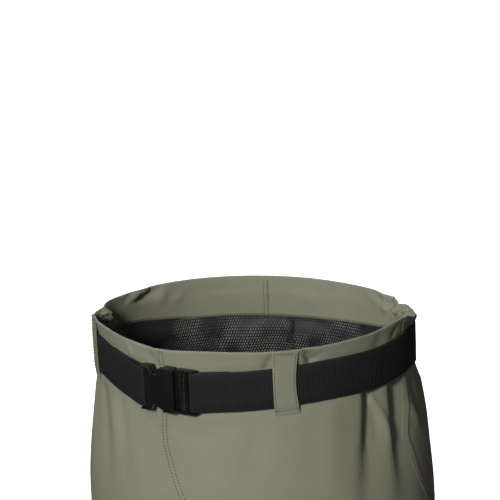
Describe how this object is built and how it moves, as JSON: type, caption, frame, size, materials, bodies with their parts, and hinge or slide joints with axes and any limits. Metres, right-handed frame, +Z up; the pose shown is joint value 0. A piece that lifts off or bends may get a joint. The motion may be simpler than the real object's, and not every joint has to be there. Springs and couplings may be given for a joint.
{
  "type": "waist wader",
  "caption": "Waist-high wader: hollow coated-cloth trousers with a mesh lining, webbing belt and side-release buckle, sealed to moulded rubber boots.",
  "frame": {"origin": "centre of the bounding box at the bottom, on the ground under the two soles", "axes": "+Z up the legs to the waist, the front and the toes towards -Y, the wearer's left towards +X"},
  "size_m": [0.412, 0.392, 1.0348],
  "materials": {
    "cloth": "matt coated weave",
    "webbing": "matt ribbed webbing",
    "plastic": "satin moulded",
    "boot_rubber": "satin moulded",
    "sole_rubber": "matt moulded",
    "insole": "felt"
  },
  "bodies": {
    "root": {"trousers_hips": "cloth", "trousers_leg_left": "cloth", "trousers_leg_right": "cloth", "belt": "webbing", "belt_loop_1": "cloth", "belt_loop_2": "cloth", "belt_loop_3": "cloth", "belt_loop_4": "cloth", "buckle_socket": "plastic", "buckle_prongs": "plastic", "boot_left": "boot_rubber", "boot_right": "boot_rubber", "outsole_left": "sole_rubber", "outsole_right": "sole_rubber", "insole_left": "insole", "insole_right": "insole"}
  },
  "joints": []
}
